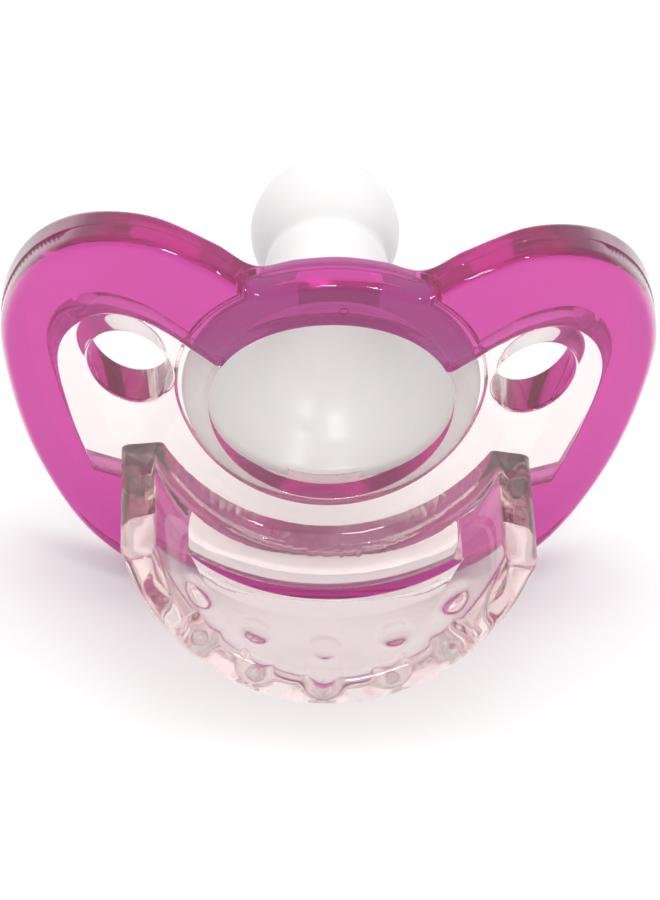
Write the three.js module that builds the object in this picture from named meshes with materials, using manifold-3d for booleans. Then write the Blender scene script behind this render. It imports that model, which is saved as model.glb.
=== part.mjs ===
// A one-size pacifier: a curved two-colour shield, a scoop-shaped grip moulded onto its front,
// and a hollow silicone nipple clamped behind the shield's lip by a snap-in collar.
//
// Millimetres, +Z up. X runs across the shield, the front faces -Y and the nipple points to +Y.
// While the pieces are built, the origin is the middle of the centre opening on the front face.
import * as THREE from "three";
import { mergeVertices } from "three/addons/utils/BufferGeometryUtils.js";
import Module from "manifold-3d";

// ---------------------------------------------------------------- driving dimensions
const CLEARANCE = 0.3; // between neighbouring pieces

const SHIELD_THICKNESS = 3.8;
const SHIELD_CURVE_RADIUS = 48.7; // the front face is part of an upright cylinder
const SHIELD_REACH = 30; // the uncut curved sheet, to each side, above and below
// Right half of the outline from the nose notch down to the chin: [x, z].
const OUTLINE_HALF = [
  [0, 12.8],
  [3.4, 12.3],
  [6.5, 11.3],
  [9.6, 12.9],
  [14.6, 14.3],
  [19.6, 12.8],
  [23.6, 8.6],
  [25.9, 1.6],
  [25.1, -5.3],
  [22.6, -12],
  [18.2, -17.8],
  [12, -20.7],
  [0, -21.5],
];

// The oval centre opening, into the nipple.
const OPENING_Z = -0.45;
const OPENING_HALF_WIDTH = 9.6;
const OPENING_HALF_HEIGHT = 9.1;
const LIP_DEPTH = 2.9; // the lip in front of the nipple's flange
const SEAT_RADIUS = 11.8; // the round seat behind the lip

const VENT_X = 15.8;
const VENT_Z = 1.5;
const VENT_HALF_WIDTH = 3.25;
const VENT_HALF_HEIGHT = 3.45;

const CORE_RADIUS = 18.2; // lower edge of the clear core, near the grip's underside
const CORE_SHOULDER_Z = -10.3;
// Right side of the clear core, from its shoulder up round the vent to the opening: [x, z].
const CORE_EAR = [
  [18.3, -10.3],
  [20.3, -5],
  [21.4, 0.6],
  [20.2, 4.2],
  [17.7, 6.4],
  [14.6, 6.5],
  [12.6, 5.6],
  [9.2, 3.4],
];

const GRIP_INNER_RADIUS = 14.9;
const GRIP_SIDE = 17.6; // outer half width
const GRIP_BOTTOM = 18.5; // outer depth under the opening's centre
const GRIP_TOP_Z = -5.8; // upper edge of the two arms
const GRIP_ARM_REACH = 9.9; // how far the arms' ends stand forward
const GRIP_LIP_REACH = 14.9; // how far the bottom of the lip stands forward
const SLOT_HALF_WIDTH = 10.8; // the strap slot through the grip's floor
const SLOT_BACK = 1.1;
const SLOT_FRONT = 5.9;
const BUMP_RADIUS = 1.5;
const BUMP_HEIGHT = 0.55;
// The bumps on the grip's floor, above and below: [x, how far forward].
const BUMPS = [
  [-10, 9.5],
  [-5.45, 10.8],
  [0, 11.5],
  [5.45, 10.8],
  [10, 9.5],
];

const FLANGE_RADIUS = 11.4;
const FLANGE_FRONT = 3.2;
const FLANGE_THICKNESS = 1;
const COLLAR_INNER_RADIUS = 9.75;
const COLLAR_OUTER_RADIUS = 11;
const COLLAR_FRONT = 4.5;
const COLLAR_BACK = 5.4;

const FLEX_Y = 11; // centre that the neck bends about
const FLEX_RADIUS = 6.3; // the base keeps outside this ball, and the teat's root inside it
const NECK_RADIUS = 5.3;
const WAIST_RADIUS = 4.9;
const TEAT_WALL = 1.1;
const BULB_RADIUS = 6.05;
const BULB_Y = 21.4;

const TIP_Y = BULB_Y + BULB_RADIUS;
const LOWEST_Z = OUTLINE_HALF.at(-1)[1];
const MIDDLE_Y = (TIP_Y - GRIP_LIP_REACH) / 2;

// ---------------------------------------------------------------- materials
const PINK = new THREE.MeshStandardMaterial({ color: 0xd85fae, roughness: 0.18, metalness: 0 });
const CLEAR = new THREE.MeshStandardMaterial({ color: 0xf6ebe8, roughness: 0.12, metalness: 0 });
const SILICONE = new THREE.MeshStandardMaterial({ color: 0xf7f4f3, roughness: 0.42, metalness: 0 });

// ---------------------------------------------------------------- solids
const wasm = await Module();
wasm.setup();

// The closed solid that a three.js geometry bounds.
function solidOf(geometry) {
  const bare = geometry.clone();
  bare.deleteAttribute("normal");
  bare.deleteAttribute("uv");
  const merged = mergeVertices(bare, 1e-4);
  const mesh = new wasm.Mesh({
    numProp: 3,
    vertProperties: new Float32Array(merged.attributes.position.array),
    triVerts: new Uint32Array(merged.index.array),
  });
  return new wasm.Manifold(mesh);
}

// A named mesh of a solid, in its material.
function meshOf(name, solid, material) {
  const { vertProperties, triVerts } = solid.getMesh();
  const geometry = new THREE.BufferGeometry();
  geometry.setAttribute("position", new THREE.BufferAttribute(vertProperties, 3));
  geometry.setIndex(new THREE.BufferAttribute(triVerts, 1));
  geometry.computeVertexNormals();
  const mesh = new THREE.Mesh(geometry, material);
  mesh.name = name;
  return mesh;
}

// A shape drawn in X and Z, made solid from y = front to y = back.
function prismAlongY(shape, front, back, curveSegments = 48) {
  const geometry = new THREE.ExtrudeGeometry(shape, {
    depth: back - front,
    bevelEnabled: false,
    curveSegments,
  });
  geometry.rotateX(Math.PI / 2);
  geometry.translate(0, back, 0);
  return solidOf(geometry);
}

// A profile of [radius, y] points turned once round the Y axis.
function turned(profile, segments = 64) {
  const points = profile.map(([radius, y]) => new THREE.Vector2(radius, y));
  return solidOf(new THREE.LatheGeometry(points, segments));
}

function ellipse(x, z, halfWidth, halfHeight) {
  const shape = new THREE.Shape();
  shape.absellipse(x, z, halfWidth, halfHeight, 0, 2 * Math.PI);
  return shape;
}

function polygon(points) {
  return new THREE.Shape(points.map(([x, z]) => new THREE.Vector2(x, z)));
}

// A closed outline moved outwards by a distance; its points run anticlockwise.
function grown(points, distance) {
  return points.map(([x, z], i) => {
    const [ax, az] = points.at(i - 1);
    const [bx, bz] = points[(i + 1) % points.length];
    const length = Math.hypot(bx - ax, bz - az);
    return [x + ((bz - az) / length) * distance, z - ((bx - ax) / length) * distance];
  });
}

const mirrored = (points) => points.map(([x, z]) => [-x, z]);

// Points along a smooth curve through the given [x, z] points.
function smooth(points, closed, count) {
  const controls = points.map(([x, z]) => new THREE.Vector3(x, z, 0));
  const curve = new THREE.CatmullRomCurve3(controls, closed, "centripetal");
  const samples = curve.getPoints(count).map(({ x, y }) => [x, y]);
  return closed ? samples.slice(0, -1) : samples;
}

// ---------------------------------------------------------------- shield
// The curved sheet that every shield piece is cut from.
function curvedSheet(front, back) {
  const halfAngle = Math.asin(SHIELD_REACH / SHIELD_CURVE_RADIUS);
  const down = -Math.PI / 2;
  const shape = new THREE.Shape();
  shape.absarc(0, SHIELD_CURVE_RADIUS, SHIELD_CURVE_RADIUS - front, down - halfAngle, down + halfAngle);
  shape.absarc(0, SHIELD_CURVE_RADIUS, SHIELD_CURVE_RADIUS - back, down + halfAngle, down - halfAngle, true);
  const geometry = new THREE.ExtrudeGeometry(shape, {
    depth: 2 * SHIELD_REACH,
    bevelEnabled: false,
    curveSegments: 36,
  });
  geometry.translate(0, 0, -SHIELD_REACH);
  return solidOf(geometry);
}

function shieldOutline() {
  const left = mirrored(OUTLINE_HALF.slice(1, -1));
  const clockwise = [...OUTLINE_HALF, ...left.reverse()];
  return smooth(clockwise.reverse(), true, 112);
}

// The clear core: a round lower edge, a shoulder each side and an ear round each vent.
function coreOutline() {
  const shoulderAngle = Math.asin(CORE_SHOULDER_Z / CORE_RADIUS);
  const lowerArc = [];
  const steps = 32;
  for (let i = 0; i <= steps; i++) {
    const angle = -Math.PI - shoulderAngle + ((Math.PI + 2 * shoulderAngle) * i) / steps;
    lowerArc.push([CORE_RADIUS * Math.cos(angle), CORE_RADIUS * Math.sin(angle)]);
  }
  const ear = smooth(CORE_EAR, false, 28);
  return [...lowerArc, ...ear, ...mirrored(ear).reverse()];
}

const sheet = curvedSheet(0, SHIELD_THICKNESS);
const opening = prismAlongY(
  ellipse(0, OPENING_Z, OPENING_HALF_WIDTH, OPENING_HALF_HEIGHT),
  -1,
  SHIELD_REACH,
);
const seat = prismAlongY(ellipse(0, 0, SEAT_RADIUS, SEAT_RADIUS), LIP_DEPTH, SHIELD_REACH);
const hollow = opening.add(seat);

function shieldRim() {
  const outer = prismAlongY(polygon(shieldOutline()), -1, SHIELD_REACH);
  const inner = prismAlongY(polygon(grown(coreOutline(), CLEARANCE)), -2, SHIELD_REACH + 1);
  return sheet.intersect(outer).subtract(inner).subtract(hollow);
}

function facePlate() {
  let plate = sheet.intersect(prismAlongY(polygon(coreOutline()), -1, SHIELD_REACH)).subtract(hollow);
  for (const side of [-1, 1]) {
    const vent = ellipse(side * VENT_X, VENT_Z, VENT_HALF_WIDTH, VENT_HALF_HEIGHT);
    plate = plate.subtract(prismAlongY(vent, -1, SHIELD_REACH));
  }
  return plate;
}

// ---------------------------------------------------------------- grip
// Points of a half oval under the opening, from the left arm's top to the right arm's.
function underArc(halfWidth, depth, topZ, steps = 36) {
  const start = Math.PI + Math.asin(-topZ / depth);
  const end = 2 * Math.PI - Math.asin(-topZ / depth);
  return Array.from({ length: steps + 1 }, (_, i) => {
    const angle = start + ((end - start) * i) / steps;
    return [halfWidth * Math.cos(angle), depth * Math.sin(angle)];
  });
}

function grip() {
  const outer = underArc(GRIP_SIDE, GRIP_BOTTOM, GRIP_TOP_Z);
  const inner = underArc(GRIP_INNER_RADIUS, GRIP_INNER_RADIUS, GRIP_TOP_Z);
  const wall = prismAlongY(polygon([...outer, ...inner.reverse()]), -GRIP_LIP_REACH, GRIP_SIDE);

  // The front leans down to the inside of the floor, then drops straight: the lip's bottom
  // stands further forward than the arms' ends.
  const lean = (GRIP_LIP_REACH - GRIP_ARM_REACH) / (GRIP_INNER_RADIUS + GRIP_TOP_Z);
  const frontAt = (z) => -GRIP_ARM_REACH - (GRIP_TOP_Z - z) * lean;
  const side = new THREE.Shape(
    [
      [frontAt(0), 0],
      [-GRIP_LIP_REACH, -GRIP_INNER_RADIUS],
      [-GRIP_LIP_REACH, -SHIELD_REACH],
      [-SHIELD_REACH, -SHIELD_REACH],
      [-SHIELD_REACH, 0],
    ].map(([y, z]) => new THREE.Vector2(y, z)),
  );
  const leaning = new THREE.ExtrudeGeometry(side, { depth: 2 * SHIELD_REACH, bevelEnabled: false });
  leaning.rotateX(Math.PI / 2);
  leaning.rotateZ(Math.PI / 2);
  leaning.translate(-SHIELD_REACH, 0, 0);

  const slot = polygon([
    [-SLOT_HALF_WIDTH, -SHIELD_REACH],
    [SLOT_HALF_WIDTH, -SHIELD_REACH],
    [SLOT_HALF_WIDTH, GRIP_TOP_Z],
    [-SLOT_HALF_WIDTH, GRIP_TOP_Z],
  ]);
  let body = wall.subtract(curvedSheet(-CLEARANCE, GRIP_SIDE));
  body = body.subtract(solidOf(leaning)).subtract(prismAlongY(slot, -SLOT_FRONT, -SLOT_BACK));
  for (const bump of bumps()) {
    body = body.add(bump);
  }
  return body;
}

// Low round bumps on both faces of the grip's floor, for a sure hold.
function bumps() {
  const faces = [
    [GRIP_INNER_RADIUS, GRIP_INNER_RADIUS],
    [GRIP_SIDE, GRIP_BOTTOM],
  ];
  return faces.flatMap(([halfWidth, depth]) =>
    BUMPS.map(([x, forward]) => {
      const angle = Math.asin(x / halfWidth);
      const bump = new THREE.SphereGeometry(BUMP_RADIUS, 16, 10);
      bump.scale(1, 1, BUMP_HEIGHT / BUMP_RADIUS);
      bump.rotateY(-angle);
      bump.translate(x, -forward, -depth * Math.cos(angle));
      return solidOf(bump);
    }),
  );
}

// ---------------------------------------------------------------- nipple
function collar() {
  return turned([
    [COLLAR_INNER_RADIUS, COLLAR_FRONT],
    [COLLAR_OUTER_RADIUS, COLLAR_FRONT],
    [COLLAR_OUTER_RADIUS, COLLAR_BACK],
    [COLLAR_INNER_RADIUS, COLLAR_BACK],
    [COLLAR_INNER_RADIUS, COLLAR_FRONT],
  ]);
}

// The flange and the funnel behind it, down to the ball-shaped gap where the neck bends.
function nippleBase() {
  const flangeBack = FLANGE_FRONT + FLANGE_THICKNESS;
  return turned([
    [9.5, FLANGE_FRONT],
    [FLANGE_RADIUS, FLANGE_FRONT],
    [FLANGE_RADIUS, flangeBack],
    [9.55, flangeBack],
    [8.6, 5.9],
    [7.5, 7.4],
    [6.95, 8.6],
    [6.8, 9.6],
    [6.2, 9.6],
    [5.85, 8.5],
    [5.4, 7.7],
    [6.3, 6.6],
    [7.7, 5.3],
    [9.5, FLANGE_FRONT],
  ]);
}

// The hollow neck and bulb.
function nippleTeat() {
  const rootY = FLEX_Y - Math.sqrt((FLEX_RADIUS - 2 * CLEARANCE) ** 2 - NECK_RADIUS ** 2);
  const arc = (radius, fromDegrees) => {
    const points = [];
    for (let degrees = fromDegrees; degrees < 90; degrees += 10) {
      const angle = THREE.MathUtils.degToRad(degrees);
      points.push([radius * Math.cos(angle), BULB_Y + radius * Math.sin(angle)]);
    }
    return [...points, [0, BULB_Y + radius]];
  };
  const outside = [[NECK_RADIUS, rootY], [WAIST_RADIUS, 13], [WAIST_RADIUS, 16], ...arc(BULB_RADIUS, -35)];
  const inside = [
    [NECK_RADIUS - TEAT_WALL, rootY],
    [WAIST_RADIUS - TEAT_WALL, 13],
    [WAIST_RADIUS - TEAT_WALL, 16],
    ...arc(BULB_RADIUS - TEAT_WALL, -35),
  ];
  return turned([...inside.reverse(), ...outside], 48);
}

// ---------------------------------------------------------------- assembly
const pacifier = new THREE.Group();
pacifier.position.set(0, -MIDDLE_Y, -LOWEST_Z);
pacifier.add(
  meshOf("shield_rim", shieldRim(), PINK),
  meshOf("face_plate", facePlate(), CLEAR),
  meshOf("handle", grip(), CLEAR),
  meshOf("rear_collar", collar(), CLEAR),
  meshOf("nipple_base", nippleBase(), SILICONE),
  meshOf("nipple_teat", nippleTeat(), SILICONE),
);

export default pacifier;
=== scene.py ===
"""A one-size pacifier: the fine surfaces, finishes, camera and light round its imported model.

Each sub-assembly is a class that works in millimetres in the maker's frame: the origin is the middle of
the centre opening on the front face, X runs across the shield, the front faces -Y, the nipple points to
+Y and +Z is up. Datum turns that frame into the row frame, in metres, when a piece is finished.
"""

import logging
import math
from dataclasses import dataclass, field
from enum import Enum
from typing import Callable, Iterable

import bmesh
import bpy
from mathutils import Matrix, Vector


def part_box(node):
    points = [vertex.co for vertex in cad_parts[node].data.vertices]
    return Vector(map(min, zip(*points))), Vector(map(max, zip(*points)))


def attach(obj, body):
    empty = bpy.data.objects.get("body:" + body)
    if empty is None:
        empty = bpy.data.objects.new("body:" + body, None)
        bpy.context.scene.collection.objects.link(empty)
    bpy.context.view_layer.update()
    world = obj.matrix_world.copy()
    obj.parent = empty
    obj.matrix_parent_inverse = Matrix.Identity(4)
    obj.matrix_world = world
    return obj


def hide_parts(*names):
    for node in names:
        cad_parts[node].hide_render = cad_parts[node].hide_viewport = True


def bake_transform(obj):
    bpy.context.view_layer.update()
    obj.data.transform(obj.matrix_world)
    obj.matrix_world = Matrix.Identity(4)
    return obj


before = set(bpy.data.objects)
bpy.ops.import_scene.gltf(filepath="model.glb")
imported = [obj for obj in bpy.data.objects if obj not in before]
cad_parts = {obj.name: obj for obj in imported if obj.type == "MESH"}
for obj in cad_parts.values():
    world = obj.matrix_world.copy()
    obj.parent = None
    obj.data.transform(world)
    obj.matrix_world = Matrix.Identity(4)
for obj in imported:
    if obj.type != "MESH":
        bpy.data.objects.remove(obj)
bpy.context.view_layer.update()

log = logging.getLogger("pacifier")

MM = 0.001
CONTACT = 0.05  # mm that two pieces moulded or pressed together share
SHORTEST = 0.03  # mm, the shortest edge that a cut may leave
MERGED = 1e-4  # mm within which points become one
FACES_FORWARD = 0.9999  # share of a flat slab's normal along Y
SMOOTH_RING = 128  # steps in a full turn
ROUND_HOLE = 160  # points round the centre opening
EVEN_NORMAL = "even_normal"  # holds the shading normals of bent slabs

Point = tuple[float, float]
Placing = Callable[[float, float, float], Vector]  # from an angle, an across and a forward value


class Slot(Enum):
    """The record's material slots."""

    PINK = "pink_plastic"
    CLEAR = "clear_plastic"
    SILICONE = "silicone"


class Body(Enum):
    """The bodies that pieces ride on."""

    SHIELD = "shield"
    TEAT = "teat"


# ---------------------------------------------------------------- shared geometry
@dataclass(frozen=True)
class Datum:
    """The middle of the centre opening on the front face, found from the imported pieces.

    Attributes:
        flange_depth: how far the nipple's flange lies behind the front face, in mm.
    """

    flange_depth: float = 3.2

    @property
    def centre(self) -> Vector:
        """Finds the datum from the collar and the flange.

        Returns:
            The point in the row frame, in metres.
        """
        collar_low, collar_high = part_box("rear_collar")
        flange_low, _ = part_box("nipple_base")
        middle = (collar_low + collar_high) / 2
        return Vector((middle.x, flange_low.y - self.flange_depth * MM, middle.z))

    @property
    def to_row(self) -> Matrix:
        """The matrix from the maker's frame in mm to the row frame in metres."""
        return Matrix.Translation(self.centre) @ Matrix.Scale(MM, 4)

    def place(self, x: float, y: float, z: float) -> Vector:
        """A point of the maker's frame, in the row frame."""
        return self.to_row @ Vector((x, y, z))


@dataclass(frozen=True)
class Dish:
    """The upright cylinder that the shield's front face follows.

    Attributes:
        radius: of the front face, in mm.
        strip: width of the flat strips that stand for the curve, in mm.
        reach: how far the strips go to each side, in mm.
    """

    radius: float = 48.7
    strip: float = 0.7
    reach: float = 26.6

    def depth(self, x: float, behind: float = 0.0) -> float:
        """How far back a point lies that is x to the side and some way behind the front face."""
        return self.radius - math.sqrt((self.radius - behind) ** 2 - x * x)

    def bend(self, bm: bmesh.types.BMesh) -> None:
        """Cuts a flat slab into upright strips and bends it onto the cylinder.

        Args:
            bm: a slab whose front face is at y = 0 and whose thickness runs to +Y.
        """
        count = int(self.reach / self.strip)
        for i in range(-count, count + 1):
            everything = [*bm.verts, *bm.edges, *bm.faces]
            bmesh.ops.bisect_plane(
                bm, geom=everything, dist=MERGED / 10, plane_co=(i * self.strip, 0, 0), plane_no=(1, 0, 0)
            )
        bm.normal_update()
        layer = bm.verts.layers.float_vector.new(EVEN_NORMAL)
        for vert in bm.verts:
            flat = [f.normal for f in vert.link_faces if abs(f.normal.y) > FACES_FORWARD]
            turn = math.asin(vert.co.x / (self.radius - vert.co.y))
            vert[layer] = Matrix.Rotation(turn, 3, "Z") @ (flat[0] if flat else vert.normal)
            vert.co.y = self.depth(vert.co.x, vert.co.y)


def smooth_path(points: list[Point], closed: bool, steps: int) -> list[Point]:
    """Points along a centripetal Catmull-Rom curve.

    Args:
        points: the points that the curve goes through.
        closed: whether the last point joins the first.
        steps: how many stretches each span is divided into.

    Returns:
        The points, without a repeat of the first one on a closed curve.
    """
    knots = [Vector(p) for p in points]
    if closed:
        knots = [knots[-1], *knots, knots[0], knots[1]]
    else:
        knots = [2 * knots[0] - knots[1], *knots, 2 * knots[-1] - knots[-2]]
    path: list[Point] = []
    for a, b, c, d in zip(knots, knots[1:], knots[2:], knots[3:]):
        ab, bc, cd = (math.sqrt((q - p).length) for p, q in ((a, b), (b, c), (c, d)))
        leave = ((b - a) / ab - (c - a) / (ab + bc) + (c - b) / bc) * bc
        arrive = ((c - b) / bc - (d - b) / (bc + cd) + (d - c) / cd) * bc
        for i in range(steps):
            t = i / steps
            cubic = 2 * b - 2 * c + leave + arrive
            square = -3 * b + 3 * c - 2 * leave - arrive
            path.append(tuple(b + leave * t + square * t * t + cubic * t**3))
    if not closed:
        path.append(tuple(knots[-2]))
    return path


def mirrored(points: list[Point]) -> list[Point]:
    """The points on the other side of the middle, in the opposite order."""
    return [(-x, z) for x, z in reversed(points)]


def grown(points: list[Point], distance: float) -> list[Point]:
    """Moves a closed anticlockwise outline outwards.

    Args:
        points: the outline.
        distance: how far it moves; a negative one moves it inwards.

    Returns:
        The new outline.
    """
    moved = []
    for i, (x, z) in enumerate(points):
        ahead = points[(i + 1) % len(points)]
        along = Vector(ahead) - Vector(points[i - 1])
        along.normalize()
        moved.append((x + along.y * distance, z - along.x * distance))
    return moved


def circle(radius: float, count: int, x: float = 0.0, z: float = 0.0, tall: float = 1.0) -> list[Point]:
    """An anticlockwise circle, or an ellipse when tall isn't 1."""
    turns = (2 * math.pi * i / count for i in range(count))
    return [(x + radius * math.cos(a), z + radius * tall * math.sin(a)) for a in turns]


def tidy(bm: bmesh.types.BMesh, distance: float = MERGED) -> bmesh.types.BMesh:
    """Merges doubles and turns every face outwards.

    Args:
        bm: the shape, which is changed.
        distance: how near, in mm, points are when they become one.

    Returns:
        The same shape.
    """
    bmesh.ops.remove_doubles(bm, verts=bm.verts, dist=distance)
    bmesh.ops.recalc_face_normals(bm, faces=bm.faces)
    return bm


def slab(outline: list[Point], front: float, back: float) -> bmesh.types.BMesh:
    """Makes a flat plate.

    Args:
        outline: its outline in X and Z.
        front: y of its front face.
        back: y of its back face.

    Returns:
        The closed plate.
    """
    bm = bmesh.new()
    face = bm.faces.new([bm.verts.new((x, front, z)) for x, z in outline])
    made = bmesh.ops.extrude_face_region(bm, geom=[face])["geom"]
    moving = [v for v in made if isinstance(v, bmesh.types.BMVert)]
    bmesh.ops.translate(bm, verts=moving, vec=(0, back - front, 0))
    bmesh.ops.recalc_face_normals(bm, faces=bm.faces)
    return bm


def lathe(profile: list[Point], segments: int, closed: bool) -> bmesh.types.BMesh:
    """A profile of (radius, y) points spun once round the Y axis.

    Args:
        profile: the points; an open one starts and ends on the axis.
        segments: steps in the turn.
        closed: whether the last point joins the first.

    Returns:
        The turned shape.
    """
    bm = bmesh.new()
    verts = [bm.verts.new((radius, y, 0)) for radius, y in profile]
    pairs = list(zip(verts, verts[1:])) + ([(verts[-1], verts[0])] if closed else [])
    edges = [bm.edges.new(pair) for pair in pairs]
    bmesh.ops.spin(
        bm, geom=[*verts, *edges], cent=(0, 0, 0), axis=(0, 1, 0), angle=2 * math.pi,
        steps=segments, use_merge=True,
    )
    return tidy(bm)


def rounded(profile: list[Point], radii: dict[int, float], steps: int = 4) -> list[Point]:
    """Puts an arc in place of each corner that has a radius.

    Args:
        profile: the closed profile.
        radii: the radius of each rounded corner, by its number.
        steps: stretches in each arc.

    Returns:
        The new profile.
    """
    result: list[Point] = []
    for i, point in enumerate(profile):
        if i not in radii:
            result.append(point)
            continue
        corner = Vector(point)
        before = (Vector(profile[i - 1]) - corner).normalized()
        after = (Vector(profile[(i + 1) % len(profile)]) - corner).normalized()
        half = before.angle(after) / 2
        reach = radii[i] / math.tan(half)
        start, end = corner + before * reach, corner + after * reach
        middle = corner + (before + after).normalized() * (radii[i] / math.sin(half))
        for step in range(steps + 1):
            t = step / steps
            spoke = (start - middle).lerp(end - middle, t).normalized()
            result.append(tuple(middle + spoke * radii[i]))
    return result


def joined(*parts: bmesh.types.BMesh) -> bmesh.types.BMesh:
    """Puts every part in one bmesh, with nothing merged.

    Args:
        parts: the shapes, which are freed.

    Returns:
        The new bmesh.
    """
    bm = bmesh.new()
    for part in parts:
        mesh = bpy.data.meshes.new("part")
        part.to_mesh(mesh)
        bm.from_mesh(mesh)
        bpy.data.meshes.remove(mesh)
        part.free()
    return bm


def loose_object(bm: bmesh.types.BMesh, name: str) -> bpy.types.Object:
    """Puts a shape in an object of its own.

    Args:
        bm: the shape, which is freed.
        name: the object's and the mesh's name.

    Returns:
        The object, in the shape's own units.
    """
    mesh = bpy.data.meshes.new(name)
    bm.to_mesh(mesh)
    bm.free()
    obj = bpy.data.objects.new(name, mesh)
    bpy.context.scene.collection.objects.link(obj)
    return obj


def modified(bm: bmesh.types.BMesh, dress: Callable[[bpy.types.Object], None]) -> bmesh.types.BMesh:
    """The shape after modifiers.

    Args:
        bm: the shape, which is freed.
        dress: adds the modifiers to the object that it is given.

    Returns:
        The new shape.
    """
    obj = loose_object(bm, "on_the_bench")
    dress(obj)
    bpy.context.view_layer.update()
    evaluated = obj.evaluated_get(bpy.context.evaluated_depsgraph_get())
    mesh = bpy.data.meshes.new_from_object(evaluated)
    result = bmesh.new()
    result.from_mesh(mesh)
    old = obj.data
    bpy.data.objects.remove(obj)
    for data in (old, mesh):
        bpy.data.meshes.remove(data)
    return result


def carved(bm: bmesh.types.BMesh, *cutters: bmesh.types.BMesh) -> bmesh.types.BMesh:
    """Takes every cutter away from a shape.

    Args:
        bm: the shape, which is freed.
        cutters: what is taken away; these are freed too.

    Returns:
        The new shape.
    """
    tools = [loose_object(cutter, "cutter") for cutter in cutters]

    def dress(obj: bpy.types.Object) -> None:
        """Adds one Boolean for each cutter.

        Args:
            obj: the object that is cut.
        """
        for tool in tools:
            boolean = obj.modifiers.new("cut", "BOOLEAN")
            boolean.operation = "DIFFERENCE"
            boolean.solver = "EXACT"
            boolean.object = tool

    result = modified(bm, dress)
    for tool in tools:
        data = tool.data
        bpy.data.objects.remove(tool)
        bpy.data.meshes.remove(data)
    return result


def remeshed(bm: bmesh.types.BMesh, voxel: float) -> bmesh.types.BMesh:
    """Wraps one closed skin round a shape.

    Args:
        bm: the shape, which is freed.
        voxel: size of the grid, in mm.

    Returns:
        The skin.
    """

    def dress(obj: bpy.types.Object) -> None:
        """Adds the Remesh modifier.

        Args:
            obj: the object that is wrapped.
        """
        remesh = obj.modifiers.new("skin", "REMESH")
        remesh.mode = "VOXEL"
        remesh.voxel_size = voxel
        remesh.adaptivity = 0

    return modified(bm, dress)


def softened(
    bm: bmesh.types.BMesh, edges: Iterable[bmesh.types.BMEdge], width: float, segments: int
) -> None:
    """Rounds edges over with a bevel.

    Args:
        bm: the shape, which is changed.
        edges: the edges that are rounded.
        width: how far the bevel reaches, in mm.
        segments: steps across it.
    """
    bmesh.ops.bevel(
        bm, geom=list(edges), offset=width, offset_type="OFFSET", segments=segments, profile=0.5,
        affect="EDGES", material=-1, clamp_overlap=False,
    )


def sharp_edges(bm: bmesh.types.BMesh, degrees: float) -> list[bmesh.types.BMEdge]:
    """The edges whose two faces meet at more than an angle."""
    limit = math.radians(degrees)
    return [e for e in bm.edges if len(e.link_faces) == 2 and e.calc_face_angle(0) > limit]


@dataclass
class Bench:
    """Turns finished shapes into pieces.

    Attributes:
        datum: where the maker's frame lies.
    """

    datum: Datum

    def piece(
        self,
        bm: bmesh.types.BMesh,
        name: str,
        material: bpy.types.Material,
        slot: Slot,
        body: Body | None = Body.SHIELD,
    ) -> bpy.types.Object:
        """Moves a shape into the row frame and makes it a piece.

        Args:
            bm: the shape in mm, which is freed.
            name: the piece's name.
            material: its finish.
            slot: the record's slot for it; not used.
            body: what it rides on, or None to leave it on no body.

        Returns:
            The new object.
        """
        bm.transform(self.datum.to_row)
        for face in bm.faces:
            face.smooth = True
        obj = loose_object(bm, name)
        obj.data.materials.append(material)
        kept = obj.data.attributes.get(EVEN_NORMAL)
        if kept is not None:
            normals = [tuple(item.vector) for item in kept.data]
            obj.data.attributes.remove(kept)
            obj.data.normals_split_custom_set_from_vertices(normals)
        if body is not None:
            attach(obj, body.value)
        log.info("%s: %d faces", name, len(obj.data.polygons))
        return obj


# ---------------------------------------------------------------- finishes
class NodeBook:
    """Builds a node tree a node at a time."""

    def __init__(self, tree: bpy.types.NodeTree) -> None:
        """Keeps the tree that nodes are added to."""
        self.tree = tree

    def add(self, kind: str, inputs: dict | None = None, **settings: object) -> bpy.types.Node:
        """Adds a node.

        Args:
            kind: the node's type name.
            inputs: values, or sockets to link, by input name or number.
            settings: the node's own properties.

        Returns:
            The node.
        """
        node = self.tree.nodes.new(kind)
        for name, value in settings.items():
            setattr(node, name, value)
        for key, value in (inputs or {}).items():
            if isinstance(value, bpy.types.NodeSocket):
                self.tree.links.new(value, node.inputs[key])
            else:
                node.inputs[key].default_value = value
        return node

    def math(self, operation: str, a: object, b: object = 0.0) -> bpy.types.NodeSocket:
        """The result of a Math node."""
        return self.add("ShaderNodeMath", {0: a, 1: b}, operation=operation).outputs[0]

    def spread(self, value: object, low: float, high: float) -> bpy.types.NodeSocket:
        """A value from 0 to 1 spread from low to high."""
        node = self.add("ShaderNodeMapRange", {"Value": value, "To Min": low, "To Max": high})
        return node.outputs["Result"]


def new_group(name: str, inputs: dict[str, float | None], outputs: dict[str, str]) -> tuple:
    """An empty shader node group with its sockets.

    Args:
        name: the group's name.
        inputs: the value of each number input; None makes a vector input.
        outputs: each output's socket type.

    Returns:
        The group, its book, its input node and its output node.
    """
    group = bpy.data.node_groups.new(name, "ShaderNodeTree")
    for socket, value in inputs.items():
        kind = "NodeSocketVector" if value is None else "NodeSocketFloat"
        made = group.interface.new_socket(socket, in_out="INPUT", socket_type=kind)
        if value is not None:
            made.default_value = value
    for socket, kind in outputs.items():
        group.interface.new_socket(socket, in_out="OUTPUT", socket_type=kind)
    book = NodeBook(group)
    return group, book, book.add("NodeGroupInput"), book.add("NodeGroupOutput")


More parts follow.
